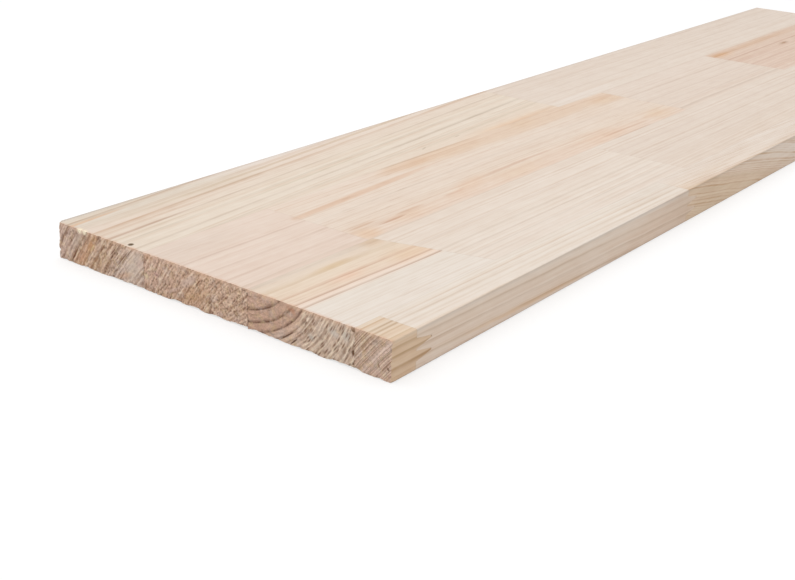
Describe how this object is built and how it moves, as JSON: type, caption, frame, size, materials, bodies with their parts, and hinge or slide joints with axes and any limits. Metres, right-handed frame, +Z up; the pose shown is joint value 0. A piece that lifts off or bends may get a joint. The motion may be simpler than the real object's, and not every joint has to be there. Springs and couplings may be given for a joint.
{
  "type": "edge-glued pine board",
  "caption": "Flat rectangular pine board of edge-glued staves, each row finger-jointed end to end, with sawn ends and eased long arrises; stock for shelves, steps and furniture.",
  "frame": {"origin": "centre of the underside, on the surface that the board lies on", "axes": "+X along the board towards the far end, +Y across it towards the left edge, +Z up out of the top face"},
  "size_m": [0.8, 0.2, 0.018],
  "materials": {
    "pale_sapwood": "planed and sanded, untreated",
    "rosy_heartwood": "planed and sanded, untreated",
    "tan_heartwood": "planed and sanded, untreated"
  },
  "bodies": {
    "root": {"left_stave_1": "pale_sapwood", "left_stave_2": "pale_sapwood", "inner_left_stave_1": "pale_sapwood", "inner_left_stave_2": "rosy_heartwood", "inner_left_stave_3": "pale_sapwood", "inner_left_stave_4": "rosy_heartwood", "inner_right_stave_1": "rosy_heartwood", "inner_right_stave_2": "pale_sapwood", "inner_right_stave_3": "pale_sapwood", "inner_right_stave_4": "pale_sapwood", "edge_strip_1": "tan_heartwood", "edge_strip_2": "pale_sapwood", "edge_strip_3": "tan_heartwood", "edge_strip_4": "pale_sapwood"}
  },
  "joints": []
}
